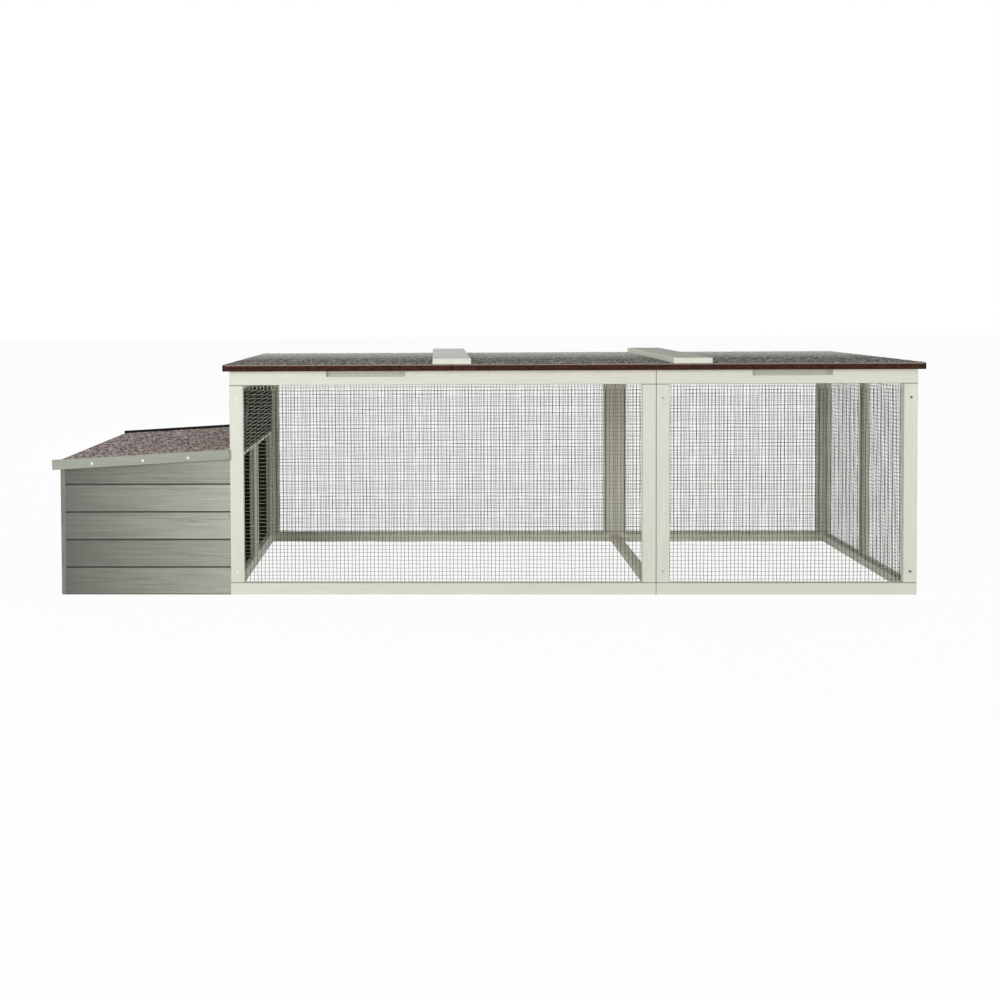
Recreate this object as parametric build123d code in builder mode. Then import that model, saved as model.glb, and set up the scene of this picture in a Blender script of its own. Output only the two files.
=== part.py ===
from build123d import *
import os
from math import cos, floor, radians, sin

# Low chicken run with a lidded nest box on its left end.
# Millimetres, Z up, front towards -Y. The origin is the middle of the ground footprint.

# Run frames
run_length = 2280.0
run_depth = 860.0
frame_height = 750.0
left_module = 1420.0
timber = 20.0
stile_width = 45.0
top_rail_height = 48.0
bottom_rail_height = 40.0
edge_ease = 1.2
floor_tie_width = 36.0
tie_clearance = 0.5

# Finger rebates in the upper edge of the front top rails
rebate_width = 263.0
rebate_height = 20.0
rebate_depth = 14.0
left_rebate_start = 325.0
right_rebate_start = 318.0

# Left wall, between the run and the nest box
middle_rail_bottom = 447.0
middle_rail_height = 25.0
door_post_width = 92.0

# Wire nets, drawn with wide cells
net_wire = 2.0
net_thickness = 1.3
net_pitch = 57.0
net_lap = 12.0

# Roof
roof_board = 19.0
felt = 3.0
roof_side_overhang = 20.0
roof_front_overhang = 22.0
middle_panel_width = 794.0
panel_gap = 1.0
batten_width = 127.0
batten_thickness = 18.0
felt_top_radius = 4.0
felt_corner_radius = 9.0

# Nest box
nest_width = 570.0
nest_wall = 15.0
board_pitch = 93.0
board_groove = 3.5
board_groove_depth = 6.0
board_gap = 0.3
lid_slope = 3.3
lid_overhang = 25.0
lid_board = 12.0
lid_end_gap = 2.0
fascia_height = 33.0
fascia_thick = 12.0
fascia_proud = 10.0
fascia_gap = 1.0
nest_floor_thick = 12.0
divider_thick = 12.0
divider_head_gap = 3.0
corner_post = 28.0
floor_batten_width = 45.0

# Hinges and screws
knuckle_radius = 3.2
pin_radius = 1.5
pin_clearance = 0.05
leaf_thick = 1.5
leaf_seat = 3.7
leaf_notch = 4.2
leaf_room = 0.5
knuckle_overlap = 0.1
knuckle_gap = 0.3
butt_length = 70.0
butt_knuckles = 5
butt_inset = 110.0
frame_leaf_reach = 30.0
roof_leaf_reach = 17.0
long_hinge_inset = 10.0
long_hinge_knuckles = 14
lid_leaf_reach = 20.0
hinge_line_height = 482.7
screw_head_radius = 4.2
screw_head_height = 2.0
screw_radius = 2.0
screw_hole_clearance = 0.1
screw_inset_top = 46.0
screw_inset_bottom = 38.0
lid_screw_places = (135.0, 287.0, 458.0)
lid_screw_length = 30.0
screw_end_room = 1.0

# Places that follow from the sizes
nest_reach = nest_width + lid_overhang
total_length = nest_reach + run_length + roof_side_overhang
rear_reach = fascia_gap + fascia_thick
total_depth = roof_front_overhang + run_depth + rear_reach
run_x = nest_reach - total_length / 2
run_end = run_x + run_length
seam_x = run_x + left_module
front_y = roof_front_overhang - total_depth / 2
back_y = front_y + run_depth
inner_front = front_y + timber
inner_back = back_y - timber
stile_height = frame_height - top_rail_height - bottom_rail_height
rail_bottom = frame_height - top_rail_height
run_middle = run_x + run_length / 2
left_panel_seam = run_middle - middle_panel_width / 2
right_panel_seam = run_middle + middle_panel_width / 2
roof_top = frame_height + roof_board + felt
nest_x = run_x - nest_width

os.makedirs("parts", exist_ok=True)


def save(piece, name):
    piece.part.label = name
    export_step(piece.part, f"parts/{name}.step")


def gather(pieces, name):
    """Like pieces written as one node of separate solids."""
    group = Compound(children=[piece.part for piece in pieces])
    group.label = name
    export_step(group, f"parts/{name}.step")


def bar(x, y, z, size_x, size_y, size_z):
    """A planed timber from its lowest corner, with its long edges eased."""
    sizes = {Axis.X: size_x, Axis.Y: size_y, Axis.Z: size_z}
    long_way = max(sizes, key=sizes.get)
    with BuildPart() as piece:
        with BuildSketch(Plane.XY.offset(z)):
            with Locations((x + size_x / 2, y + size_y / 2)):
                Rectangle(size_x, size_y)
        extrude(amount=size_z)
        chamfer(piece.edges().filter_by(long_way), edge_ease)
    return piece


def screw_holes(piece, x, y, heights):
    """Cuts the screw holes through the thickness of a stile."""
    with BuildPart() as drilled:
        add(piece.part)
        with BuildSketch(Plane.XZ.offset(-y)):
            with Locations(*[(x, z) for z in heights]):
                Circle(screw_radius + screw_hole_clearance)
        extrude(amount=-timber, mode=Mode.SUBTRACT)
    return drilled


def finger_rebate(piece, start):
    """Cuts the blind finger rebate in the front upper edge of a top rail."""
    with BuildPart() as rebated:
        add(piece.part)
        with BuildSketch(Plane.XY.offset(frame_height - rebate_height)):
            with Locations((start + rebate_width / 2, front_y + rebate_depth / 2)):
                Rectangle(rebate_width, rebate_depth)
        extrude(amount=rebate_height, mode=Mode.SUBTRACT)
    return rebated


# Front and back frames, each in two modules that meet at the seam
modules = (
    ("left", run_x, left_module, run_x + left_rebate_start),
    ("right", seam_x, run_length - left_module, seam_x + right_rebate_start),
)
screw_heights = (bottom_rail_height + screw_inset_bottom, rail_bottom - screw_inset_top)
screw_stiles = []
for face, y in (("front", front_y), ("back", inner_back)):
    for side, x, length, rebate_start in modules:
        bottom_rail = bar(x, y, 0, length, timber, bottom_rail_height)
        save(bottom_rail, f"{face}_{side}_bottom_rail")
        top_rail = bar(x, y, rail_bottom, length, timber, top_rail_height)
        if face == "front":
            top_rail = finger_rebate(top_rail, rebate_start)
        save(top_rail, f"{face}_{side}_top_rail")
        for end, stile_x in (("left", x), ("right", x + length - stile_width)):
            stile = bar(stile_x, y, bottom_rail_height, stile_width, timber, stile_height)
            centre = stile_x + stile_width / 2
            if (side, end) != ("left", "right"):
                stile = screw_holes(stile, centre, y, screw_heights)
                screw_stiles.append((face, centre))
            save(stile, f"{face}_{side}_stile_{end}")

# Side frames, held between the front and back frames
side_span = inner_back - inner_front
stile_gap = side_span - 2 * stile_width
for side, x in (("left", run_x), ("right", run_end - timber)):
    bottom_rail = bar(x, inner_front, 0, timber, side_span, bottom_rail_height)
    save(bottom_rail, f"{side}_side_bottom_rail")
    top_rail = bar(x, inner_front, rail_bottom, timber, side_span, top_rail_height)
    save(top_rail, f"{side}_side_top_rail")
    end_stiles = [
        bar(x, y, bottom_rail_height, timber, stile_width, stile_height)
        for y in (inner_front, inner_back - stile_width)
    ]
    gather(end_stiles, f"{side}_side_end_stiles")

middle_y = (front_y + back_y) / 2
right_middle_stile = bar(
    run_end - timber, middle_y - stile_width / 2, bottom_rail_height,
    timber, stile_width, stile_height,
)
save(right_middle_stile, "right_side_stile_middle")
left_middle_rail = bar(
    run_x, inner_front + stile_width, middle_rail_bottom,
    timber, stile_gap, middle_rail_height,
)
save(left_middle_rail, "left_side_middle_rail")
door_post = bar(
    run_x, middle_y - door_post_width / 2, bottom_rail_height,
    timber, door_post_width, middle_rail_bottom - bottom_rail_height,
)
save(door_post, "left_side_door_post")

# Ties across the run: one on the ground at the seam, two under the roof seams.
# They stay clear of the nets, which lap onto the rails.
floor_tie_height = bottom_rail_height - net_lap - tie_clearance
roof_tie_height = top_rail_height - net_lap - tie_clearance
floor_tie = bar(
    seam_x - floor_tie_width / 2, inner_front, 0,
    floor_tie_width, side_span, floor_tie_height,
)
save(floor_tie, "floor_tie")
roof_ties = [
    bar(
        x - stile_width / 2, inner_front, frame_height - roof_tie_height,
        stile_width, side_span, roof_tie_height,
    )
    for x in (left_panel_seam, right_panel_seam)
]
gather(roof_ties, "roof_ties")


def net(name, origin, x_dir, z_dir, width, height):
    """A flat wire net: one sheet with a grid of square gaps."""
    columns = floor((width - net_wire) / net_pitch)
    rows = floor((height - net_wire) / net_pitch)
    with BuildPart() as sheet:
        with BuildSketch(Plane(origin=origin, x_dir=x_dir, z_dir=z_dir)):
            Rectangle(width, height)
            with GridLocations(net_pitch, net_pitch, columns, rows):
                Rectangle(net_pitch - net_wire, net_pitch - net_wire, mode=Mode.SUBTRACT)
        extrude(amount=net_thickness)
    save(sheet, name)


# Nets, stapled to the inner faces of the frames
net_height = stile_height + 2 * net_lap
net_middle = bottom_rail_height + stile_height / 2
for side, x, length, rebate_start in modules:
    for face, y, inwards in (("front", inner_front, 1), ("back", inner_back, -1)):
        net(
            f"{face}_{side}_net", (x + length / 2, y, net_middle),
            (1, 0, 0), (0, inwards, 0), length - 2 * stile_width + 2 * net_lap, net_height,
        )
net(
    "right_side_net", (run_end - timber, middle_y, net_middle),
    (0, 1, 0), (-1, 0, 0), stile_gap + 2 * net_lap, net_height,
)
upper_bottom = middle_rail_bottom + middle_rail_height
net(
    "left_side_net", (run_x + timber, middle_y, (upper_bottom + rail_bottom) / 2),
    (0, 1, 0), (1, 0, 0), stile_gap + 2 * net_lap, rail_bottom - upper_bottom + 2 * net_lap,
)

# Roof: two lids with a fixed panel between them, each a board under wrapped felt
roof_front = front_y - roof_front_overhang
roof_left = run_x - roof_side_overhang
roof_right = run_end + roof_side_overhang
panels = (
    ("left_lid", roof_left, left_panel_seam - panel_gap, felt, 0),
    ("middle", left_panel_seam + panel_gap, right_panel_seam - panel_gap, 0, 0),
    ("right_lid", right_panel_seam + panel_gap, roof_right, 0, felt),
)
for name, x0, x1, wrap_left, wrap_right in panels:
    board_x = x0 + wrap_left
    board_width = x1 - wrap_right - board_x
    board_depth = back_y - roof_front - felt
    with BuildPart() as roof_panel:
        with BuildSketch(Plane.XY.offset(frame_height)):
            with Locations((board_x + board_width / 2, back_y - board_depth / 2)):
                Rectangle(board_width, board_depth)
        extrude(amount=roof_board)
    save(roof_panel, f"roof_board_{name}")

    with BuildPart() as roof_felt:
        with BuildSketch(Plane.XY.offset(frame_height)):
            with Locations(((x0 + x1) / 2, (roof_front + back_y) / 2)):
                Rectangle(x1 - x0, back_y - roof_front)
        extrude(amount=roof_top - frame_height)
        upright = roof_felt.edges().filter_by(Axis.Z).group_by(Axis.Y)[0].sort_by(Axis.X)
        if wrap_left:
            fillet(upright[0], felt_corner_radius)
        if wrap_right:
            fillet(upright[-1], felt_corner_radius)
        rim = roof_felt.faces().sort_by(Axis.Z)[-1].edges()
        rear_edge = rim.sort_by(Axis.Y)[-1]
        bare_ends = rim.filter_by(Axis.Y).sort_by(Axis.X)
        if wrap_left:
            bare_ends = bare_ends[1:]
        if wrap_right:
            bare_ends = bare_ends[:-1]
        fillet([e for e in rim if e != rear_edge and e not in bare_ends], felt_top_radius)
        with BuildSketch(Plane.XY.offset(frame_height)):
            with Locations((board_x + board_width / 2, back_y - board_depth / 2)):
                Rectangle(board_width, board_depth)
        extrude(amount=roof_board, mode=Mode.SUBTRACT)
    save(roof_felt, f"roof_felt_{name}")

# Cover battens over the two roof seams
for side, x in (("left", left_panel_seam), ("right", right_panel_seam)):
    batten = bar(
        x - batten_width / 2, roof_front, roof_top,
        batten_width, back_y - roof_front, batten_thickness,
    )
    save(batten, f"roof_batten_{side}")

# Nest lid plane: it lies on top of the lid felt, with its x axis down the slope
slope = radians(lid_slope)
down_slope = (-cos(slope), 0, -sin(slope))
lid_normal = (-sin(slope), 0, cos(slope))
axis_x = run_x - leaf_seat
felt_origin = (
    axis_x - lid_normal[0] * leaf_seat, front_y, hinge_line_height - lid_normal[2] * leaf_seat,
)
lid_top = Plane(origin=felt_origin, x_dir=down_slope, z_dir=lid_normal)
board_top = lid_top.offset(-felt)
lid_underside = board_top.offset(-lid_board)
lid_length = (nest_reach - leaf_seat) / cos(slope)
lid_front = front_y - fascia_gap
lid_rear = back_y + fascia_gap
lid_width = lid_rear - lid_front


def lid_sheet(plane, thickness, start, end, front, rear):
    """A rectangle on a lid plane, between two distances down the slope."""
    with BuildSketch(plane) as outline:
        with Locations(((start + end) / 2, front_y - (front + rear) / 2)):
            Rectangle(end - start, rear - front)
    extrude(outline.sketch, amount=thickness)


def lid_screw_holes(radius, depth, start_y, places):
    """Cuts the fascia screw holes, which run along Y in the middle of the lid board."""
    for place in places:
        centre = board_top.offset(-lid_board / 2).from_local_coords((place, 0, 0))
        with BuildSketch(Plane.XZ.offset(-start_y)) as holes:
            with Locations((centre.X, centre.Z)):
                Circle(radius)
        extrude(holes.sketch, amount=-depth, mode=Mode.SUBTRACT)


hole_radius = screw_radius + screw_hole_clearance
lid_hole_depth = lid_screw_length - fascia_thick + screw_end_room
with BuildPart() as nest_lid_board:
    lid_sheet(board_top, -lid_board, lid_end_gap, lid_length, lid_front, lid_rear)
    lid_screw_holes(hole_radius, lid_hole_depth, lid_front, lid_screw_places)
save(nest_lid_board, "nest_lid_board")

with BuildPart() as nest_lid_felt:
    lid_sheet(board_top, felt, lid_end_gap, lid_length, lid_front, lid_rear)
save(nest_lid_felt, "nest_lid_felt")

with BuildPart() as nest_lid_front_fascia:
    fascia_top = lid_top.offset(fascia_proud)
    lid_sheet(fascia_top, -fascia_height, -leaf_seat, lid_length, lid_front - fascia_thick, lid_front)
    long_edges = nest_lid_front_fascia.edges().sort_by(SortBy.LENGTH)[-4:]
    chamfer(long_edges, edge_ease)
    lid_screw_holes(hole_radius, fascia_thick, lid_front - fascia_thick, lid_screw_places)
save(nest_lid_front_fascia, "nest_lid_front_fascia")

with BuildPart() as nest_lid_rear_trim:
    lid_sheet(fascia_top, -fascia_height, lid_end_gap, lid_length, lid_rear, lid_rear + fascia_thick)
save(nest_lid_rear_trim, "nest_lid_rear_trim")


def fit_under_lid(head_gap=0.0):
    """Cuts off what stands above the lid's underside, and makes room for the hinge leaf."""
    with BuildSketch(lid_underside.offset(-head_gap)) as above:
        Rectangle(4 * nest_width, 4 * run_depth)
    extrude(above.sketch, amount=frame_height, mode=Mode.SUBTRACT)
    with BuildSketch(Plane.XY.offset(hinge_line_height - frame_leaf_reach - leaf_room)) as slot:
        with Locations((run_x, middle_y)):
            Rectangle(2 * (leaf_thick + leaf_room), 2 * run_depth)
    extrude(slot.sketch, amount=frame_height, mode=Mode.SUBTRACT)


def boarded_wall(name, end_plane, length):
    """Lapped boards, drawn on the plane of one end of the wall, its x axis outwards."""
    face_height = board_pitch - board_groove
    lip = nest_wall - board_groove_depth
    courses = floor(hinge_line_height / board_pitch) + 1
    with BuildPart() as wall:
        for course in range(courses):
            foot = course * board_pitch
            head = foot + board_pitch - board_gap
            with BuildSketch(end_plane):
                with BuildLine():
                    Polyline(
                        (0, foot), (nest_wall, foot), (nest_wall, foot + face_height),
                        (lip, foot + face_height), (lip, head), (0, head), close=True,
                    )
                make_face()
            extrude(amount=length)
        fit_under_lid()
    save(wall, name)


# Nest box walls: the front and rear walls stop against the outer wall
wall_length = nest_width - nest_wall
boarded_wall(
    "nest_front_wall",
    Plane(origin=(run_x, front_y + nest_wall, 0), x_dir=(0, -1, 0), z_dir=(-1, 0, 0)),
    wall_length,
)
boarded_wall(
    "nest_rear_wall",
    Plane(origin=(nest_x + nest_wall, back_y - nest_wall, 0), x_dir=(0, 1, 0), z_dir=(1, 0, 0)),
    wall_length,
)
boarded_wall(
    "nest_outer_wall",
    Plane(origin=(nest_x + nest_wall, front_y, 0), x_dir=(-1, 0, 0), z_dir=(0, 1, 0)),
    run_depth,
)

# Inside the nest box: battens on the ground, floor, corner posts and divider
nest_inner_x = nest_x + nest_wall
nest_inner_front = front_y + nest_wall
nest_inner_back = back_y - nest_wall
nest_inner_depth = nest_inner_back - nest_inner_front
floor_bottom = bottom_rail_height - nest_floor_thick
post_offset_x = wall_length - corner_post
post_offset_y = nest_inner_depth - corner_post
nest_centre = ((nest_inner_x + run_x) / 2, middle_y)

with BuildPart() as nest_floor_battens:
    with BuildSketch():
        with Locations(nest_centre):
            with GridLocations((nest_inner_depth - floor_batten_width) / 2,
                               (nest_inner_depth - floor_batten_width) / 2, 1, 3):
                Rectangle(wall_length, floor_batten_width)
    extrude(amount=floor_bottom)
save(nest_floor_battens, "nest_floor_battens")

with BuildPart() as nest_floor:
    with BuildSketch(Plane.XY.offset(floor_bottom)):
        with Locations(nest_centre):
            Rectangle(wall_length, nest_inner_depth)
    extrude(amount=nest_floor_thick)
save(nest_floor, "nest_floor")

with BuildPart() as nest_corner_posts:
    with BuildSketch(Plane.XY.offset(bottom_rail_height)):
        with Locations(nest_centre):
            with GridLocations(post_offset_x, post_offset_y, 2, 2):
                Rectangle(corner_post, corner_post)
    extrude(amount=frame_height)
    fit_under_lid()
save(nest_corner_posts, "nest_corner_posts")

with BuildPart() as nest_divider:
    with BuildSketch(Plane.XY.offset(bottom_rail_height)):
        with Locations(nest_centre):
            Rectangle(wall_length, divider_thick)
    extrude(amount=frame_height)
    fit_under_lid(divider_head_gap)
save(nest_divider, "nest_divider")


def hinge_leaf(axis, length, knuckles, first, leaf_angle, reach, seat_side):
    """One leaf of a hinge, drawn on the plane across its pin at one end.

    The leaf leaves the pin at leaf_angle in degrees and lies leaf_seat off the pin's
    centre, on the side that seat_side gives. It has every second knuckle from first on.
    """
    pitch = length / knuckles
    with BuildPart() as leaf:
        for knuckle in range(first, knuckles, 2):
            start = knuckle * pitch + knuckle_gap / 2
            run = pitch - knuckle_gap
            with BuildSketch(axis.offset(start)):
                Circle(knuckle_radius)
                with Locations(Rotation(0, 0, leaf_angle)):
                    with Locations((leaf_notch / 2, seat_side * (leaf_seat - leaf_thick / 2))):
                        Rectangle(leaf_notch + knuckle_overlap, leaf_thick)
            extrude(amount=run)
        with BuildSketch(axis):
            with Locations(Rotation(0, 0, leaf_angle)):
                with Locations(((leaf_notch + reach) / 2, seat_side * (leaf_seat - leaf_thick / 2))):
                    Rectangle(reach - leaf_notch, leaf_thick)
        extrude(amount=length)
        with BuildSketch(axis):
            Circle(pin_radius + pin_clearance)
        extrude(amount=length, mode=Mode.SUBTRACT)
    return leaf


# Roof hinges: butt hinges on the back faces, their pins level with the frame tops
roof_leaf_groups = {"left": [], "right": []}
frame_leaves = []
pins = []
for side, x0, x1 in (("left", run_x, left_panel_seam), ("right", right_panel_seam, run_end)):
    for start in (x0 + butt_inset, x1 - butt_inset - butt_length):
        axis = Plane(
            origin=(start, back_y + leaf_seat, frame_height), x_dir=(0, 1, 0), z_dir=(1, 0, 0)
        )
        frame_leaves.append(
            hinge_leaf(axis, butt_length, butt_knuckles, 0, -90, frame_leaf_reach, -1)
        )
        roof_leaf_groups[side].append(
            hinge_leaf(axis, butt_length, butt_knuckles, 1, 90, roof_leaf_reach, 1)
        )
        with BuildPart() as pin:
            with BuildSketch(axis):
                Circle(pin_radius)
            extrude(amount=butt_length)
        pins.append(pin)
gather(frame_leaves, "roof_hinge_frame_leaves")
for side, leaves in roof_leaf_groups.items():
    gather(leaves, f"roof_hinge_leaves_{side}_lid")

# Nest lid hinge: one long hinge between the middle rail and the top of the lid
long_hinge_length = run_depth - 2 * long_hinge_inset
long_axis = Plane(
    origin=(axis_x, front_y + long_hinge_inset, hinge_line_height),
    x_dir=(-1, 0, 0), z_dir=(0, 1, 0),
)
save(
    hinge_leaf(
        long_axis, long_hinge_length, long_hinge_knuckles, 0, -90, frame_leaf_reach, -1
    ),
    "nest_hinge_wall_leaf",
)
save(
    hinge_leaf(
        long_axis, long_hinge_length, long_hinge_knuckles, 1, -lid_slope, lid_leaf_reach, -1
    ),
    "nest_hinge_lid_leaf",
)
with BuildPart() as nest_hinge_pin:
    with BuildSketch(long_axis):
        Circle(pin_radius)
    extrude(amount=long_hinge_length)
gather([*pins, nest_hinge_pin], "hinge_pins")

# Frame screws, through the outer and seam stiles at the front and back
with BuildPart() as frame_screws:
    for face, x in screw_stiles:
        outer_face, inwards = (front_y, -1) if face == "front" else (back_y, 1)
        with BuildSketch(Plane.XZ.offset(-outer_face)):
            with Locations(*[(x, z) for z in screw_heights]):
                Circle(screw_radius)
        extrude(amount=inwards * timber)
        with BuildSketch(Plane.XZ.offset(-outer_face)):
            with Locations(*[(x, z) for z in screw_heights]):
                Circle(screw_head_radius)
        extrude(amount=-inwards * screw_head_height)
save(frame_screws, "frame_screws")

# Fascia screws, into the front edge of the nest lid board
with BuildPart() as lid_screws:
    fascia_face = lid_front - fascia_thick
    for place in lid_screw_places:
        centre = board_top.offset(-lid_board / 2).from_local_coords((place, 0, 0))
        with BuildSketch(Plane.XZ.offset(-fascia_face)):
            with Locations((centre.X, centre.Z)):
                Circle(screw_radius)
        extrude(amount=-lid_screw_length)
        with BuildSketch(Plane.XZ.offset(-fascia_face)):
            with Locations((centre.X, centre.Z)):
                Circle(screw_head_radius)
        extrude(amount=screw_head_height)
save(lid_screws, "nest_lid_screws")
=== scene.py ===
"""A low poultry run: painted pine frames with wire mesh, a felted roof with two lids, and a nest box."""

import math
import random

import bmesh
import bpy
from mathutils import Matrix, Vector


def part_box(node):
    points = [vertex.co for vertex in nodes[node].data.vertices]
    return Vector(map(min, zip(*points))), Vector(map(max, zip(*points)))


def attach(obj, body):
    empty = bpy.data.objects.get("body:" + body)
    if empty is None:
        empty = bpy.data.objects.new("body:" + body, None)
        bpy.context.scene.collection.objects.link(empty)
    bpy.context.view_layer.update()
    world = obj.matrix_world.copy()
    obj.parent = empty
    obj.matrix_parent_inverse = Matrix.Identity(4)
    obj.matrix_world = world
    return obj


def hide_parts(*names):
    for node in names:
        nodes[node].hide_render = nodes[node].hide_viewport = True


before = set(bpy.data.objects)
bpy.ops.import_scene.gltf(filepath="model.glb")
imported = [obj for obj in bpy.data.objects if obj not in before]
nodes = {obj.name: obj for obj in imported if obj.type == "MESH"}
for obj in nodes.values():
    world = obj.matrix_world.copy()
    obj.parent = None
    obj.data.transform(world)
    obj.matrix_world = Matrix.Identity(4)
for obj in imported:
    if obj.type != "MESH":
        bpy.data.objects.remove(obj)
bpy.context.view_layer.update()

# The camera stands a little higher than the roof and left of the run's middle, almost square to its front.
# Its place, turn and lens follow the edges of the run in the photograph, which is 1000 pixels square.
image_side = 1000
focal_pixels = 1114.5
axis_pixel = (411.4, 335.7)
sensor_width = 36
camera_place = (-0.167, -4.128, 0.965)
camera_turn = (1.5441, 0.005, 0.0204)
bpy.ops.object.camera_add(location=camera_place, rotation=camera_turn)
camera = bpy.context.object
camera.name = "camera"
camera.data.sensor_width = sensor_width
camera.data.lens = focal_pixels * sensor_width / image_side
camera.data.shift_x = (image_side / 2 - axis_pixel[0]) / image_side
camera.data.shift_y = (axis_pixel[1] - image_side / 2) / image_side
bpy.context.scene.camera = camera
bpy.context.scene.view_settings.view_transform = "Standard"


# The studio is a wide white floor under an even white sky, with large soft lamps at the front left,
# on the right and behind. To the eye the floor and the sky are white, and the floor keeps a soft shadow.
floor_side = 60
floor_drop = 0.0004
floor_grey = (0.9, 0.9, 0.9, 1)
floor_whiteness = 0.95
sky_light = (0.98, 1, 1, 1)
sky_strength = 0.42
white = (1, 1, 1, 1)


def arithmetic(tree, operation, first, second=0):
    """One or two values put through a sum, where each is a number or an output of the tree."""
    result = tree.nodes.new("ShaderNodeMath")
    result.operation = operation
    for socket, value in zip(result.inputs, (first, second)):
        if isinstance(value, (int, float)):
            socket.default_value = value
        else:
            tree.links.new(value, socket)
    return result.outputs[0]


def seen_directly(tree):
    """A value of 1 for what is seen straight, mirrored or through glass, and 0 for light that bounces."""
    path = tree.nodes.new("ShaderNodeLightPath")
    seen = arithmetic(tree, "MAXIMUM", path.outputs["Is Camera Ray"], path.outputs["Is Glossy Ray"])
    return arithmetic(tree, "MAXIMUM", seen, path.outputs["Is Transmission Ray"])


def show_apart(tree, output, lighting, shown, share):
    """Ends the tree in one shader for light that bounces and another, by that share, for the eye."""
    mixed = tree.nodes.new("ShaderNodeMixShader")
    tree.links.new(share, mixed.inputs["Fac"])
    tree.links.new(lighting.outputs[0], mixed.inputs[1])
    tree.links.new(shown.outputs[0], mixed.inputs[2])
    tree.links.new(mixed.outputs[0], tree.nodes.new(output).inputs["Surface"])


bpy.ops.object.select_all(action="DESELECT")
bpy.ops.mesh.primitive_plane_add(size=floor_side, location=(0, 0, -floor_drop))
floor = bpy.context.object
floor.name = "studio_floor"
bpy.ops.object.transform_apply(location=True, rotation=True, scale=True)
floor_paint = bpy.data.materials.new("studio_floor")
floor_paint.use_nodes = True
tree = floor_paint.node_tree
tree.nodes.clear()
matt = tree.nodes.new("ShaderNodeBsdfDiffuse")
matt.inputs["Color"].default_value = floor_grey
glow = tree.nodes.new("ShaderNodeEmission")
glow.inputs["Color"].default_value = white
floor_share = arithmetic(tree, "MULTIPLY", seen_directly(tree), floor_whiteness)
show_apart(tree, "ShaderNodeOutputMaterial", matt, glow, floor_share)
floor.data.materials.append(floor_paint)

sky = bpy.data.worlds.new("studio_sky")
bpy.context.scene.world = sky
sky.use_nodes = True
tree = sky.node_tree
tree.nodes.clear()
shown = tree.nodes.new("ShaderNodeBackground")
shown.inputs["Color"].default_value = white
shown.inputs["Strength"].default_value = 1
lighting = tree.nodes.new("ShaderNodeBackground")
lighting.inputs["Color"].default_value = sky_light
lighting.inputs["Strength"].default_value = sky_strength
show_apart(tree, "ShaderNodeOutputWorld", lighting, shown, seen_directly(tree))


def soft_lamp(name, place, target, side, watts):
    """A square soft lamp at place that shines on target."""
    bpy.ops.object.light_add(type="AREA", location=place)
    lamp = bpy.context.object
    lamp.name = name
    lamp.data.shape = "SQUARE"
    lamp.data.size = side
    lamp.data.energy = watts
    lamp.rotation_euler = (Vector(target) - Vector(place)).to_track_quat("-Z", "Y").to_euler()


soft_lamp("lamp_left_front", (-2.4, -4.7, 1.7), (-0.3, 0, 0.4), 2.4, 112)
soft_lamp("lamp_right_side", (4.6, -3.0, 1.3), (0.0, 0, 0.4), 2.0, 62)
soft_lamp("lamp_behind", (-0.6, 5.4, 2.6), (0.2, 0, 0.4), 2.4, 60)


# The run is screwed together from planed pine frames, dipped in thin cream satin paint before assembly.
# The grain shows through as fine lines, with soft grey patches and a few pin knots, and dirt lies in the
# joints. From the back of the two finger rebates inwards, the front top rails are painted darker, a painted
# shade.
grain_stretch = {"x": (0.03, 1, 1), "y": (1, 0.03, 1), "z": (1, 1, 0.03)}
joint_width = 0.0026
level_enough = 0.9
level_shade_share = 0.8
rebate_depth = 0.014
rebate_shade_share = 0.75
sharp_edge = 0.001
black = (0, 0, 0, 1)


def screen_colour(red, green, blue):
    """A colour read from a screen, 0 to 255, as the linear values that a shader takes."""
    linear = []
    for value in (red, green, blue):
        part = value / 255
        linear.append(part / 12.92 if part <= 0.04045 else ((part + 0.055) / 1.055) ** 2.4)
    return (*linear, 1)


def new_finish(name, roughness):
    """A material with only its shader, and the tree that its pattern is built in."""
    material = bpy.data.materials.new(name)
    material.use_nodes = True
    tree = material.node_tree
    shader = tree.nodes["Principled BSDF"]
    shader.inputs["Roughness"].default_value = roughness
    return material, tree, shader


def pattern(tree, kind, scale, stretch=(1, 1, 1), **inputs):
    """A noise or cell texture on the piece's own coordinates, in metres, stretched along an axis."""
    place = tree.nodes.new("ShaderNodeTexCoord")
    mapping = tree.nodes.new("ShaderNodeMapping")
    mapping.inputs["Scale"].default_value = stretch
    tree.links.new(place.outputs["Object"], mapping.inputs["Vector"])
    texture = tree.nodes.new(kind)
    tree.links.new(mapping.outputs["Vector"], texture.inputs["Vector"])
    texture.inputs["Scale"].default_value = scale
    for socket, value in inputs.items():
        texture.inputs[socket].default_value = value
    return texture


def ramp(tree, source, stops):
    """Turns a grey value into the colours of stops, which are pairs of a place from 0 to 1 and a colour."""
    steps = tree.nodes.new("ShaderNodeValToRGB")
    tree.links.new(source, steps.inputs["Fac"])
    elements = steps.color_ramp.elements
    while len(elements) < len(stops):
        elements.new(0.5)
    for element, (place, colour) in zip(elements, stops):
        element.position = place
        element.color = colour
    return steps.outputs["Color"]


def blend_colours(tree, first, second, amount, how="MIX"):
    """Mixes two colours, where amount is a number or a grey value of the pattern."""
    mix = tree.nodes.new("ShaderNodeMix")
    mix.data_type = "RGBA"
    mix.blend_type = how
    if isinstance(amount, float):
        mix.inputs[0].default_value = amount
    else:
        tree.links.new(amount, mix.inputs[0])
    for socket, colour in ((mix.inputs[6], first), (mix.inputs[7], second)):
        if isinstance(colour, tuple):
            socket.default_value = colour
        else:
            tree.links.new(colour, socket)
    return mix.outputs[2]


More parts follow.
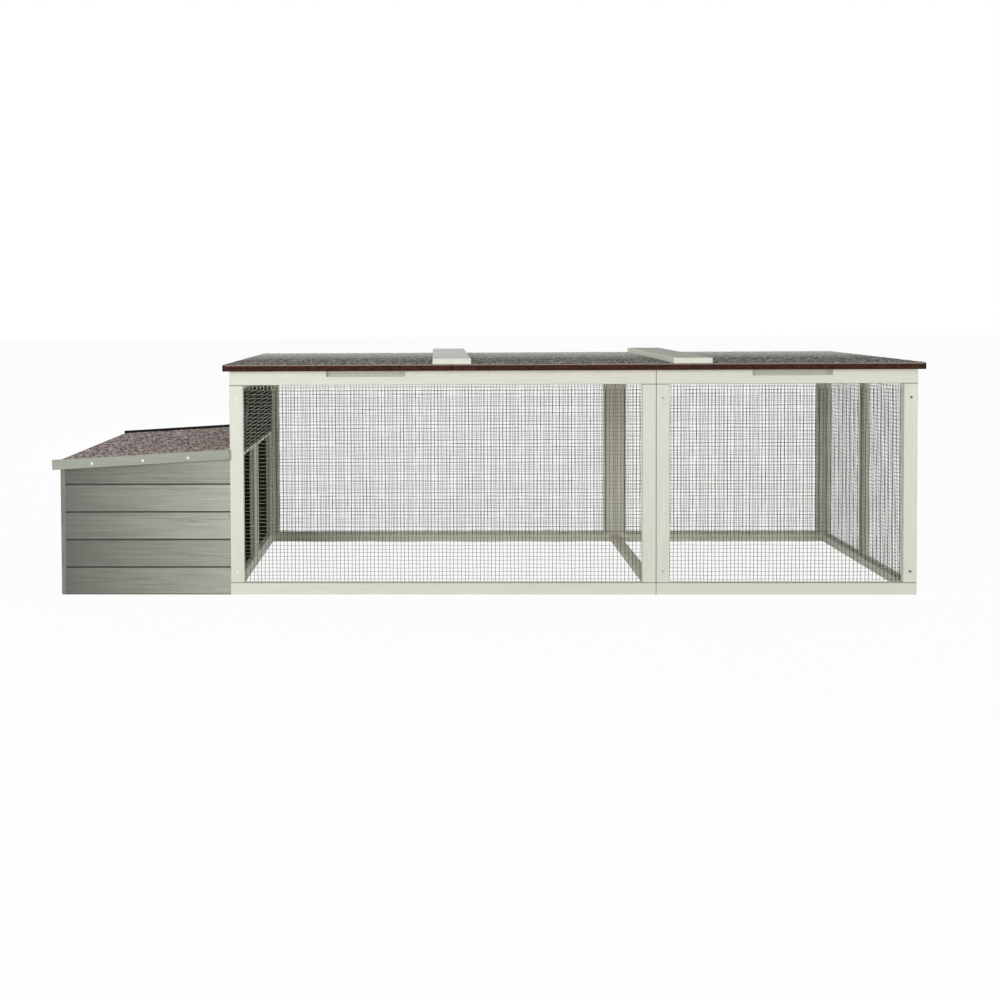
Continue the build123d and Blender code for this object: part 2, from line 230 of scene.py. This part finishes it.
def roughen(tree, shader, height, depth, strength):
    """Raises the surface by height, which is a grey value, over depth metres."""
    bump = tree.nodes.new("ShaderNodeBump")
    bump.inputs["Distance"].default_value = depth
    bump.inputs["Strength"].default_value = strength
    tree.links.new(height, bump.inputs["Height"])
    tree.links.new(bump.outputs["Normal"], shader.inputs["Normal"])


def along(tree, axis, start, end):
    """A grey value that goes from 0 to 1 as the place on that axis, in metres, goes from start to end."""
    place = tree.nodes.new("ShaderNodeTexCoord")
    parts = tree.nodes.new("ShaderNodeSeparateXYZ")
    tree.links.new(place.outputs["Object"], parts.inputs["Vector"])
    reach = tree.nodes.new("ShaderNodeMapRange")
    reach.inputs["From Min"].default_value = start
    reach.inputs["From Max"].default_value = end
    tree.links.new(parts.outputs[axis.upper()], reach.inputs["Value"])
    return reach.outputs[0]


def upwards(tree):
    """How squarely the surface faces up: 1 on top, 0 where it is upright, and -1 underneath."""
    surface = tree.nodes.new("ShaderNodeTexCoord")
    direction = tree.nodes.new("ShaderNodeSeparateXYZ")
    tree.links.new(surface.outputs["Normal"], direction.inputs["Vector"])
    return direction.outputs["Z"]


def level_face(tree):
    """A value of 1 on faces that lie level, on top or underneath, and 0 elsewhere."""
    return arithmetic(tree, "GREATER_THAN", arithmetic(tree, "ABSOLUTE", upwards(tree)), level_enough)


def joint_line(tree, axis, middle):
    """A value of 1 in a line of joint_width about that place on the axis, and 0 elsewhere."""
    across = along(tree, axis, middle - joint_width, middle + joint_width)
    off_middle = arithmetic(tree, "ABSOLUTE", arithmetic(tree, "SUBTRACT", across, 0.5))
    near = arithmetic(tree, "LESS_THAN", off_middle, 0.25)
    return arithmetic(tree, "MAXIMUM", arithmetic(tree, "SUBTRACT", near, level_face(tree)), 0)


def painted_pine(name, axis, paint, grain_paint, patch_paint, joints=(), level_shade_paint=None, painted_shade=None):
    """Thin satin paint on pine with its grain along axis, and dirt in the joints.

    Level faces may be given a darker paint, a painted shade. Past a place on an axis, a darker paint may be
    given too, also a painted shade.
    """
    material, tree, shader = new_finish(name, 0.62)
    shader.inputs["Specular IOR Level"].default_value = 0.25
    stretch = grain_stretch[axis]
    grain = pattern(tree, "ShaderNodeTexNoise", 260, stretch, Detail=6, Roughness=0.62, Distortion=0.25)
    lines = ramp(tree, grain.outputs["Fac"], [(0.40, black), (0.72, white)])
    patches = pattern(tree, "ShaderNodeTexNoise", 5, stretch, Detail=3, Roughness=0.5)
    soft = ramp(tree, patches.outputs["Fac"], [(0.35, black), (0.75, white)])
    knots = pattern(tree, "ShaderNodeTexVoronoi", 7, Randomness=1)
    spots = ramp(tree, knots.outputs["Distance"], [(0.0, white), (0.055, black)])
    base = blend_colours(tree, paint, grain_paint, lines)
    base = blend_colours(tree, base, patch_paint, soft)
    base = blend_colours(tree, base, grain_paint, spots)
    for joint_axis, middle in joints:
        base = blend_colours(tree, base, joint_dirt, joint_line(tree, joint_axis, middle))
    if level_shade_paint:
        level = arithmetic(tree, "MULTIPLY", level_face(tree), level_shade_share)
        base = blend_colours(tree, base, level_shade_paint, level)
    if painted_shade:
        shade_paint, shade_axis, start, end = painted_shade
        shade_amount = arithmetic(tree, "MULTIPLY", along(tree, shade_axis, start, end), rebate_shade_share)
        base = blend_colours(tree, base, shade_paint, shade_amount)
    tree.links.new(base, shader.inputs["Base Color"])
    roughen(tree, shader, grain.outputs["Fac"], 0.0006, 0.35)
    return material


def coat(names, material):
    """Gives these CAD nodes the material."""
    for name in names:
        if not nodes[name].material_slots:
            nodes[name].data.materials.append(material)
        for slot in nodes[name].material_slots:
            slot.material = material


cream = screen_colour(229, 230, 217)
cream_grain = screen_colour(214, 215, 200)
cream_patch = screen_colour(221, 223, 208)
joint_dirt = screen_colour(128, 128, 114)
low_rail, high_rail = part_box("front_left_bottom_rail"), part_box("front_left_top_rail")
frame_joints = (("z", low_rail[1].z), ("z", high_rail[0].z), ("x", low_rail[1].x))
cream_pine = {
    axis: painted_pine("cream_pine_" + axis, axis, cream, cream_grain, cream_patch, frame_joints)
    for axis in "xyz"
}
# Painted shade: from the back of each finger rebate inwards, the rails get a darker cream for the shade under
# the roof's edge.
rebate_back = high_rail[0].y + rebate_depth
rebate_shade = (screen_colour(200, 203, 189), "y", rebate_back - sharp_edge, rebate_back)
rebate_pine = painted_pine(
    "rebate_pine", "x", cream, cream_grain, cream_patch, frame_joints, painted_shade=rebate_shade
)
# Painted light: the left end's middle and bottom rails get a whiter copy of the cream paint, so they look
# more brightly lit.
white_pine = painted_pine(
    "white_pine", "y", screen_colour(250, 250, 244), cream, screen_colour(240, 241, 232)
)
walls = ("front_left", "front_right", "back_left", "back_right")
coat([f"{wall}_{rail}_rail" for wall in walls for rail in ("top", "bottom")], cream_pine["x"])
coat(["front_left_top_rail", "front_right_top_rail"], rebate_pine)
ends = ("left_side", "right_side")
coat([f"{end}_{rail}_rail" for end in ends for rail in ("top", "bottom")], cream_pine["y"])
coat(["floor_tie"], cream_pine["y"])
coat([f"{wall}_stile_{side}" for wall in walls for side in ("left", "right")], cream_pine["z"])
coat(["left_side_end_stiles", "right_side_end_stiles"], cream_pine["z"])
coat(["right_side_stile_middle", "left_side_door_post"], cream_pine["z"])
coat(["left_side_middle_rail", "left_side_bottom_rail"], white_pine)


# Half-inch welded mesh of dark coated wire is fixed to the inner face of each frame.
# It comes off a roll, so no wire is quite straight: each stands a little off its place and sways along
# its length. The end wall over the nest box has heavier, blacker wire. A pale painted highlight lies on
# the upper sides of the wires, most on the level ones.
mesh_pitch = 0.0127
wire_width = 0.0016
heavy_wire_width = 0.0023
wire_sides = 6
wire_bend_step = 0.05
wire_lean = 0.0006
wire_sway = 0.0007
sway_lengths = (0.09, 0.32)
sideways_sway = 0.3
weld_depth = 0.62
random.seed(11)


def coated_wire(name, dark, light, least):
    """Coated wire, with a pale painted highlight on the sides that face up more squarely than least."""
    material, tree, shader = new_finish(name, 0.6)
    shader.inputs["Specular IOR Level"].default_value = 0.15
    wear = pattern(tree, "ShaderNodeTexNoise", 60, Detail=3)
    tone = ramp(tree, wear.outputs["Fac"], [(0.3, dark), (0.8, light)])
    # Painted highlight: a pale colour on the sides of the wire that face up.
    painted_highlight_side = ramp(tree, upwards(tree), [(least, black), (least + 0.2, white)])
    tone = blend_colours(tree, tone, screen_colour(240, 240, 230), painted_highlight_side)
    tree.links.new(tone, shader.inputs["Base Color"])
    return material


def select_long_edges(piece, least):
    """Opens the piece for editing with only the edges longer than least selected."""
    bpy.ops.object.mode_set(mode="EDIT")
    bpy.ops.mesh.select_all(action="DESELECT")
    shape = bmesh.from_edit_mesh(piece.data)
    for edge in shape.edges:
        edge.select = edge.calc_length() > least
    bmesh.update_edit_mesh(piece.data)


def joined(pieces, name):
    """One object of that name, made of all the pieces, and the only one selected."""
    bpy.ops.object.select_all(action="DESELECT")
    for piece in pieces:
        piece.select_set(True)
    bpy.context.view_layer.objects.active = pieces[0]
    bpy.ops.object.join()
    pieces[0].name = name
    return pieces[0]


def row_of_wires(count, length, wire):
    """Upright wires of that length and width, standing a mesh pitch apart along X, from the origin."""
    bpy.ops.object.select_all(action="DESELECT")
    bpy.ops.mesh.primitive_cylinder_add(vertices=wire_sides, radius=wire / 2, depth=length)
    wires = bpy.context.object
    select_long_edges(wires, length / 2)
    bpy.ops.mesh.subdivide(number_cuts=max(2, round(length / wire_bend_step)))
    bpy.ops.object.mode_set(mode="OBJECT")
    copies = wires.modifiers.new("copies", "ARRAY")
    copies.count = count
    copies.use_relative_offset = False
    copies.use_constant_offset = True
    copies.constant_offset_displace = (mesh_pitch, 0, 0)
    bpy.ops.object.modifier_apply(modifier="copies")
    leans = [random.uniform(-wire_lean, wire_lean) for _ in range(count)]
    lengths = [random.uniform(*sway_lengths) for _ in range(count)]
    phases = [random.uniform(0, 2 * math.pi) for _ in range(count)]
    for vertex in wires.data.vertices:
        number = round(vertex.co.x / mesh_pitch)
        turn = vertex.co.z * 2 * math.pi / lengths[number] + phases[number]
        vertex.co.x += leans[number] + wire_sway * math.sin(turn)
        vertex.co.y += sideways_sway * wire_sway * math.cos(turn)
    return wires


def welded_mesh(node, wire, coating):
    """A net of upright wires with level wires welded across them, in the place of a CAD net."""
    low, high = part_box(node)
    size = high - low
    faces_side = size.x < size.y
    width = size.y if faces_side else size.x
    across = int((width - wire) / mesh_pitch) + 1
    upward = int((size.z - wire) / mesh_pitch) + 1
    upright = row_of_wires(across, size.z, wire)
    upright.location = (-(across - 1) * mesh_pitch / 2, 0, 0)
    bpy.ops.object.transform_apply(location=True, rotation=False, scale=False)
    level = row_of_wires(upward, width, wire)
    level.location = (0, 0, (upward - 1) * mesh_pitch / 2)
    level.rotation_euler = (0, math.pi / 2, 0)
    bpy.ops.object.transform_apply(location=True, rotation=True, scale=False)
    inward = -1 if (low + high).xy.dot(Vector((1, 0) if faces_side else (0, 1))) > 0 else 1
    for vertex in level.data.vertices:
        vertex.co.y += wire * weld_depth * (-inward if faces_side else inward)
    net = joined([upright, level], node.replace("_net", "_welded_mesh"))
    net.location = (low + high) / 2
    net.rotation_euler = (0, 0, math.pi / 2 if faces_side else 0)
    bpy.ops.object.transform_apply(location=True, rotation=True, scale=False)
    bpy.ops.object.shade_smooth()
    net.data.materials.append(coating)
    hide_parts(node)
    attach(net, "run")


wire_coat = coated_wire("dark_coated_wire", screen_colour(32, 37, 26), screen_colour(60, 67, 46), 0.2)
heavy_wire_coat = coated_wire(
    "heavy_coated_wire", screen_colour(12, 14, 12), screen_colour(28, 33, 25), 0.04
)
light_nets = ("front_left_net", "front_right_net", "back_left_net", "back_right_net", "right_side_net")
for node in light_nets:
    welded_mesh(node, wire_width, wire_coat)
welded_mesh("left_side_net", heavy_wire_width, heavy_wire_coat)


# Wire staples hold each net to its frame, about one every tenth of a metre, driven over a wire of the mesh.
# A staple is a crown of flat wire, 10 mm wide, that comes down to the face of the timber at both ends.
staple_width = 0.010
staple_wire = 0.0012
staple_step = 0.1
staple_stand = 0.0022
staple_lap = 0.006
staple_steel, tree, shader = new_finish("staple_steel", 0.45)
shader.inputs["Metallic"].default_value = 0.7
rust = pattern(tree, "ShaderNodeTexNoise", 300, Detail=3)
rust_tones = [(0.45, screen_colour(120, 121, 118)), (0.75, screen_colour(128, 104, 84))]
tree.links.new(ramp(tree, rust.outputs["Fac"], rust_tones), shader.inputs["Base Color"])

bpy.ops.object.select_all(action="DESELECT")
bpy.ops.mesh.primitive_cube_add(size=1)
staple = bpy.context.object
staple.data.transform(Matrix.Diagonal((staple_width, staple_wire, staple_wire, 1)))
select_long_edges(staple, staple_width / 2)
bpy.ops.mesh.subdivide(number_cuts=3)
bpy.ops.object.mode_set(mode="OBJECT")
for vertex in staple.data.vertices:
    off_middle = abs(vertex.co.x) / (staple_width / 2)
    vertex.co.z += staple_stand * (1 - off_middle**4)


def copy_of(piece, placing):
    """A copy of the piece with a mesh of its own, put in its place by the matrix."""
    copy = piece.copy()
    copy.data = piece.data.copy()
    piece.users_collection[0].objects.link(copy)
    copy.data.transform(placing)
    return copy


def staples(node):
    """A row of staples along all four edges of a net, with their backs to the inside of the run."""
    low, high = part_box(node)
    middle, size = (low + high) / 2, high - low
    faces_side = size.x < size.y
    sideways = Vector((0, 1, 0)) if faces_side else Vector((1, 0, 0))
    outward = Vector((1, 0, 0)) if faces_side else Vector((0, 1, 0))
    inward = outward * (-1 if middle.dot(outward) > 0.01 else 1)
    upward = Vector((0, 0, 1))
    row = []
    for crown, other in ((sideways, upward), (upward, sideways)):
        turn = Matrix((crown, inward.cross(crown), inward)).transposed().to_4x4()
        reach, offset = size.dot(crown) - 2 * staple_lap, size.dot(other) / 2 - staple_lap
        count = int(size.dot(crown) / staple_step)
        for number in range(count):
            shift = crown * ((number + 0.5) / count - 0.5) * reach
            for side in (-1, 1):
                row.append(copy_of(staple, Matrix.Translation(middle + shift + other * side * offset) @ turn))
    whole = joined(row, node.replace("_net", "_staples"))
    whole.data.materials.append(staple_steel)
    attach(whole, "run")


for node in (*light_nets, "left_side_net"):
    staples(node)
bpy.data.objects.remove(staple)


# The nest box is five courses of tongued boards, stained grey-green, on pine posts, battens and a plywood
# floor. The boards are painted darker towards the outer end, a painted shade, and the grain runs along
# each board. Inside, all is painted near black, a painted shade, the boards from 12 mm deep.
board_pitch = 0.093
inner_shade_depth = 0.012
nest_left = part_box("nest_outer_wall")[0].x
run_wall = low_rail[0].x
outer_grey = screen_colour(104, 106, 98)
outer_grain = screen_colour(84, 86, 79)
inner_grey = screen_colour(191, 194, 179)
inner_grain = screen_colour(148, 151, 136)
groove_shade = screen_colour(34, 34, 29)
groove_shade_stops = [(0.0, white), (0.022, white), (0.035, black), (0.965, black), (0.978, white)]


def stained_boards(name, axis, *inside):
    """Grey-green stain on boards with grain along axis; painted shade darkens it outwards and near black past
    inside.
    """
    material, tree, shader = new_finish(name, 0.55)
    stretch = grain_stretch[axis]
    grain = pattern(tree, "ShaderNodeTexNoise", 150, stretch, Detail=8, Roughness=0.66, Distortion=0.6)
    streaks = ramp(tree, grain.outputs["Fac"], [(0.32, black), (0.68, white)])
    clouds = pattern(tree, "ShaderNodeTexNoise", 16, (0.25, 0.25, 1), Detail=4, Roughness=0.6)
    streaks = arithmetic(tree, "MULTIPLY", streaks, arithmetic(tree, "ADD", clouds.outputs["Fac"], 0.4))
    outer = blend_colours(tree, outer_grey, outer_grain, streaks)
    inner = blend_colours(tree, inner_grey, inner_grain, streaks)
    # Painted shade: the stain darkens from the run's wall to the outer end.
    stain = blend_colours(tree, outer, inner, along(tree, "x", nest_left, run_wall))
    knots = pattern(tree, "ShaderNodeTexVoronoi", 9, (0.6, 0.6, 1), Randomness=1)
    spots = ramp(tree, knots.outputs["Distance"], [(0.02, white), (0.06, black)])
    stain = blend_colours(tree, stain, outer_grain, arithmetic(tree, "MULTIPLY", spots, 0.5))
    course = arithmetic(tree, "DIVIDE", along(tree, "z", 0, 1), board_pitch)
    board = tree.nodes.new("ShaderNodeTexWhiteNoise")
    board.noise_dimensions = "1D"
    tree.links.new(arithmetic(tree, "FLOOR", course), board.inputs["W"])
    tint = ramp(tree, board.outputs["Value"], [(0, screen_colour(226, 226, 223)), (1, white)])
    stain = blend_colours(tree, stain, tint, 1.0, "MULTIPLY")
    # Painted shade: a near-black line along each groove between the courses.
    groove = ramp(tree, arithmetic(tree, "FRACT", course), groove_shade_stops)
    stain = blend_colours(tree, stain, groove_shade, groove)
    # Painted shade: past the place inside, the boards are painted near black.
    stain = blend_colours(tree, stain, screen_colour(34, 32, 29), along(tree, *inside))
    tree.links.new(stain, shader.inputs["Base Color"])
    roughen(tree, shader, grain.outputs["Fac"], 0.0008, 0.5)
    return material


front_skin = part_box("nest_front_wall")[0].y + inner_shade_depth
rear_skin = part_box("nest_rear_wall")[1].y - inner_shade_depth
outer_skin = nest_left + inner_shade_depth
coat(["nest_front_wall"], stained_boards("grey_front_boards", "x", "y", front_skin, front_skin + sharp_edge))
coat(["nest_rear_wall"], stained_boards("grey_rear_boards", "x", "y", rear_skin, rear_skin - sharp_edge))
coat(["nest_outer_wall"], stained_boards("grey_outer_boards", "y", "x", outer_skin, outer_skin + sharp_edge))

# Painted shade: the posts, divider, battens, floor and lid board inside the box are painted near black.
inner_shade_tones = (screen_colour(46, 42, 37), screen_colour(33, 30, 27), screen_colour(40, 37, 33))
inner_shade_pine = {axis: painted_pine("dark_stain_" + axis, axis, *inner_shade_tones) for axis in "xyz"}
coat(["nest_corner_posts", "nest_divider"], inner_shade_pine["z"])
coat(["nest_floor_battens"], inner_shade_pine["y"])
coat(["nest_floor", "nest_lid_board"], inner_shade_pine["x"])


# A thin pine angle is pinned over each outer corner of the nest box and covers the ends of the boards.
# It is planed, stained lighter than the outer boards, and stops under the lid.
angle_leg = 0.0155
angle_thick = 0.0008
angle_foot = 0.001
angle_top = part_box("nest_outer_wall")[1].z - 0.002
angle_bevel = 0.0003
corner_pine = painted_pine(
    "corner_pine", "z", screen_colour(140, 142, 130), outer_grain, screen_colour(122, 124, 113)
)
for corner, wall_face, inward in (
    ("front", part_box("nest_front_wall")[0].y, 1),
    ("rear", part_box("nest_rear_wall")[1].y, -1),
):
    outside_x, outside_y = nest_left - angle_thick, wall_face - inward * angle_thick
    outline = [
        (outside_x, outside_y),
        (nest_left + angle_leg, outside_y),
        (nest_left + angle_leg, wall_face),
        (nest_left, wall_face),
        (nest_left, wall_face + inward * angle_leg),
        (outside_x, wall_face + inward * angle_leg),
    ]
    bpy.ops.object.select_all(action="DESELECT")
    bpy.ops.mesh.primitive_circle_add(vertices=len(outline), fill_type="NGON")
    angle = bpy.context.object
    angle.name = f"nest_{corner}_corner_angle"
    for vertex, (x, y) in zip(angle.data.vertices, outline):
        vertex.co = (x, y, angle_foot)
    bpy.ops.object.mode_set(mode="EDIT")
    bpy.ops.mesh.select_all(action="SELECT")
    bpy.ops.mesh.extrude_region_move(TRANSFORM_OT_translate={"value": (0, 0, angle_top - angle_foot)})
    bpy.ops.mesh.select_all(action="SELECT")
    bpy.ops.mesh.normals_make_consistent(inside=False)
    bpy.ops.mesh.bevel(offset=angle_bevel, segments=2, affect="EDGES")
    bpy.ops.object.mode_set(mode="OBJECT")
    angle.data.materials.append(corner_pine)
    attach(angle, "run")


# The nest lid is a plywood sheet under pinkish mineral felt, with a grey fascia in front and a black strip
# behind. It hangs on one long hinge at the run, and the felt's crushed slate stands up as real grit.
grit_pitch = 0.0048
grit_least = 0.0001
grit_relief = 0.0022
grit_tuck = 0.0002
lid_slope = math.tan(math.radians(3.3))
lid_hem = 0.003
lid_side_hem = 0.001
random.seed(23)


def mineral_felt(name, dark, middle, light, painted_sheen=None):
    """Roofing felt faced with crushed slate in three tones, painted paler along an axis as a painted sheen.
    """
    material, tree, shader = new_finish(name, 0.92)
    grains = pattern(tree, "ShaderNodeTexVoronoi", 150, Randomness=1)
    tones = tree.nodes.new("ShaderNodeSeparateColor")
    tree.links.new(grains.outputs["Color"], tones.inputs["Color"])
    grit = ramp(tree, tones.outputs["Red"], [(0.3, dark), (0.5, middle), (0.7, light)])
    blotches = pattern(tree, "ShaderNodeTexNoise", 34, Detail=3, Roughness=0.6)
    cloud = ramp(tree, blotches.outputs["Fac"], [(0.38, black), (0.66, white)])
    grit = blend_colours(tree, grit, dark, blend_colours(tree, black, cloud, 0.45))
    if painted_sheen:
        pale, *reach = painted_sheen
        uneven = ramp(tree, tones.outputs["Green"], [(0.15, screen_colour(170, 170, 170)), (0.6, white)])
        grit = blend_colours(tree, grit, pale, arithmetic(tree, "MULTIPLY", uneven, along(tree, *reach)))
    tree.links.new(grit, shader.inputs["Base Color"])
    fine = pattern(tree, "ShaderNodeTexNoise", 900, Detail=2)
    roughen(tree, shader, fine.outputs["Fac"], 0.0008, 0.6)
    return material


def grit_face(name, corner, opposite, body, material):
    """A sheet of slate grit from one corner to the opposite one, which rises and falls over the felt."""
    width, depth = opposite.x - corner.x, opposite.y - corner.y
    columns, rows = round(width / grit_pitch), round(depth / grit_pitch)
    bpy.ops.object.select_all(action="DESELECT")
    bpy.ops.mesh.primitive_grid_add(x_subdivisions=columns, y_subdivisions=rows, size=1)
    sheet = bpy.context.object
    sheet.name = name
    slope = (opposite.z - corner.z) / width
    for vertex in sheet.data.vertices:
        on_edge = max(abs(vertex.co.x), abs(vertex.co.y)) > 0.4999
        x = corner.x + (vertex.co.x + 0.5) * width
        y = corner.y + (vertex.co.y + 0.5) * depth
        lift = -grit_tuck if on_edge else random.uniform(grit_least, grit_relief)
        vertex.co = (x, y, corner.z + slope * (x - corner.x) + lift)
    sheet.data.materials.append(material)
    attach(sheet, body)


pink_tones = (screen_colour(66, 46, 42), screen_colour(138, 118, 111), screen_colour(222, 208, 202))
pink_felt = mineral_felt("pink_mineral_felt", *pink_tones)
coat(["nest_lid_felt"], pink_felt)
lid_low, lid_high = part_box("nest_lid_felt")
hinge_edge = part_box("nest_hinge_lid_leaf")[0].x - lid_side_hem
low_height = lid_high.z - lid_slope * (lid_high.x - lid_low.x - lid_hem)
high_height = lid_high.z - lid_slope * (lid_high.x - hinge_edge)
low_corner = Vector((lid_low.x + lid_hem, lid_low.y + lid_side_hem, low_height))
high_corner = Vector((hinge_edge, lid_high.y - lid_side_hem, high_height))
grit_face("nest_lid_grit", low_corner, high_corner, "nest_lid", pink_felt)
fascia_grey = screen_colour(163, 166, 152)
coat(["nest_lid_front_fascia"], painted_pine("grey_fascia", "x", fascia_grey, inner_grain, inner_grey))
black_paint, tree, shader = new_finish("black_paint", 0.6)
shader.inputs["Specular IOR Level"].default_value = 0.12
scuffs = pattern(tree, "ShaderNodeTexNoise", 90, grain_stretch["x"], Detail=5)
scuff_tones = [(0.3, screen_colour(5, 5, 5)), (0.8, screen_colour(20, 20, 19))]
tree.links.new(ramp(tree, scuffs.outputs["Fac"], scuff_tones), shader.inputs["Base Color"])
coat(["nest_lid_rear_trim"], black_paint)


# The roof is three boards under grey-brown mineral felt, on pine ties: a fixed middle and a lid at each end.
# The felt is folded down over the front and the ends, where it is bare and dark brown, with a painted
# highlight along the top of the fold and painted shade at the ends. Its grit is painted paler towards the
# back, a painted sheen. A cream batten on each lid covers its joint with the middle, and its level faces
# are painted greyer, a painted shade.
roof_low, roof_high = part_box("roof_felt_middle")
left_edge, right_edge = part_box("roof_felt_left_lid")[0].x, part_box("roof_felt_right_lid")[1].x
felt_hem = 0.004
fold_highlight = (0.0045, 0.0035)
end_shade = (0.010, 0.006)
# Painted sheen: the grit is painted paler from here towards the back edge.
sheen_start = 0.3
sheen_end = 0.02
painted_sheen = (screen_colour(236, 236, 229), "y", roof_low.y + sheen_start, roof_high.y + sheen_end)
slate_tones = (screen_colour(34, 31, 28), screen_colour(92, 88, 82), screen_colour(176, 172, 164))
grey_felt = mineral_felt("grey_mineral_felt", *slate_tones, painted_sheen)
folded_felt, tree, shader = new_finish("folded_felt", 0.85)
shader.inputs["Specular IOR Level"].default_value = 0.2
ripples = pattern(tree, "ShaderNodeTexNoise", 110, (0.6, 1, 1), Detail=5, Roughness=0.7)
browns = [(0.4, screen_colour(42, 22, 15)), (0.62, screen_colour(74, 40, 31))]
# Painted highlight: a paler band along the top of the fold.
near_top = along(tree, "z", roof_high.z - fold_highlight[0], roof_high.z - fold_highlight[1])
tone = ramp(tree, ripples.outputs["Fac"], browns)
tone = blend_colours(tree, tone, screen_colour(146, 132, 124), near_top)
# Painted shade: the folded felt is painted darker near both ends.
left_end = along(tree, "x", left_edge + end_shade[0], left_edge + end_shade[1])
right_end = along(tree, "x", right_edge - end_shade[0], right_edge - end_shade[1])
tone = blend_colours(tree, tone, screen_colour(26, 20, 18), arithmetic(tree, "ADD", left_end, right_end))
tree.links.new(tone, shader.inputs["Base Color"])
roughen(tree, shader, ripples.outputs["Fac"], 0.001, 0.5)
coat(["roof_felt_left_lid", "roof_felt_middle", "roof_felt_right_lid"], folded_felt)
left_batten, right_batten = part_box("roof_batten_left"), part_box("roof_batten_right")
for name, start, end, body in (
    ("roof_grit_left_lid", left_edge + felt_hem, left_batten[0].x, "left_roof_lid"),
    ("roof_grit_middle", left_batten[1].x, right_batten[0].x, "run"),
    ("roof_grit_right_lid", right_batten[1].x, right_edge - felt_hem, "right_roof_lid"),
):
    front_corner = Vector((start, roof_low.y + felt_hem, roof_high.z))
    back_corner = Vector((end, roof_high.y - felt_hem, roof_high.z))
    grit_face(name, front_corner, back_corner, body, grey_felt)
pine_tones = (screen_colour(205, 178, 138), screen_colour(176, 140, 96), screen_colour(193, 163, 122))
bare_pine = {axis: painted_pine("bare_pine_" + axis, axis, *pine_tones) for axis in "xy"}
coat(["roof_board_left_lid", "roof_board_middle", "roof_board_right_lid"], bare_pine["x"])
coat(["roof_ties"], bare_pine["y"])
# Painted shade: the battens' level faces, their tops, are painted greyer than their fronts.
batten_top_shade = screen_colour(150, 152, 143)
batten_pine = painted_pine(
    "weathered_cream_pine", "y", cream, cream_grain, cream_patch, level_shade_paint=batten_top_shade
)
coat(["roof_batten_left", "roof_batten_right"], batten_pine)


# The hinges and their pins are zinc-plated steel: two butt hinges at the back of each roof lid, and one
# long hinge on the nest lid. The plating is dull and spangled.
zinc, tree, shader = new_finish("zinc_plate", 0.5)
shader.inputs["Metallic"].default_value = 0.85
spangle = pattern(tree, "ShaderNodeTexVoronoi", 240, Randomness=1)
zinc_tones = [(0.2, screen_colour(112, 113, 110)), (0.8, screen_colour(150, 151, 147))]
tree.links.new(ramp(tree, spangle.outputs["Color"], zinc_tones), shader.inputs["Base Color"])
coat([name for name in nodes if "hinge" in name], zinc)


# Three small dome-head screws hold each leaf of a butt hinge, and their heads stand 1 mm proud of it.
# Those in the frame's leaves stay with the run, and those in the lid's leaves swing with the lid.
butt_length = 0.070
leaf_thick = 0.0015
screw_step = 0.024
dome_radius = 0.0026
dome_flatness = 0.4
frame_screw_drop = 0.018
lid_screw_rise = 0.0095
back_rail_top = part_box("back_left_top_rail")[1]
leaf_face = back_rail_top.y + leaf_thick
bpy.ops.object.select_all(action="DESELECT")
bpy.ops.mesh.primitive_uv_sphere_add(segments=12, ring_count=6, radius=dome_radius)
dome = bpy.context.object
dome.data.transform(Matrix.Diagonal((1, dome_flatness, 1, 1)))
for lid in ("left", "right"):
    low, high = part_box(f"roof_hinge_leaves_{lid}_lid")
    for leaf, height, body in (
        ("frame", back_rail_top.z - frame_screw_drop, "run"),
        ("lid", back_rail_top.z + lid_screw_rise, f"{lid}_roof_lid"),
    ):
        heads = [
            copy_of(dome, Matrix.Translation((middle + step * screw_step, leaf_face, height)))
            for middle in (low.x + butt_length / 2, high.x - butt_length / 2)
            for step in (-1, 0, 1)
        ]
        screws = joined(heads, f"{lid}_hinge_{leaf}_screws")
        bpy.ops.object.shade_smooth()
        screws.data.materials.append(zinc)
        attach(screws, body)
bpy.data.objects.remove(dome)


# Pan-head screws hold the frames and the nest lid's fascia. Those on the nest and on the left are painted
# over, those by the middle joint thinly, and those on the right are bare steel.
painted_over_until = 0.58
thin_paint_until = 1.0
screw_paint, tree, shader = new_finish("screw_heads", 0.4)
bloom = pattern(tree, "ShaderNodeTexNoise", 400, Detail=3)
paint_tones = [(0.3, screen_colour(232, 233, 226)), (0.7, screen_colour(252, 252, 248))]
steel_tones = [(0.3, screen_colour(92, 92, 86)), (0.7, screen_colour(128, 128, 122))]
paint, steel = (ramp(tree, bloom.outputs["Fac"], tones) for tones in (paint_tones, steel_tones))
thinly_painted = along(tree, "x", painted_over_until, painted_over_until + sharp_edge)
unpainted = along(tree, "x", thin_paint_until, thin_paint_until + sharp_edge)
bare = arithmetic(tree, "MULTIPLY", arithmetic(tree, "ADD", thinly_painted, unpainted), 0.5)
tree.links.new(blend_colours(tree, paint, steel, bare), shader.inputs["Base Color"])
coat(["frame_screws", "nest_lid_screws"], screw_paint)
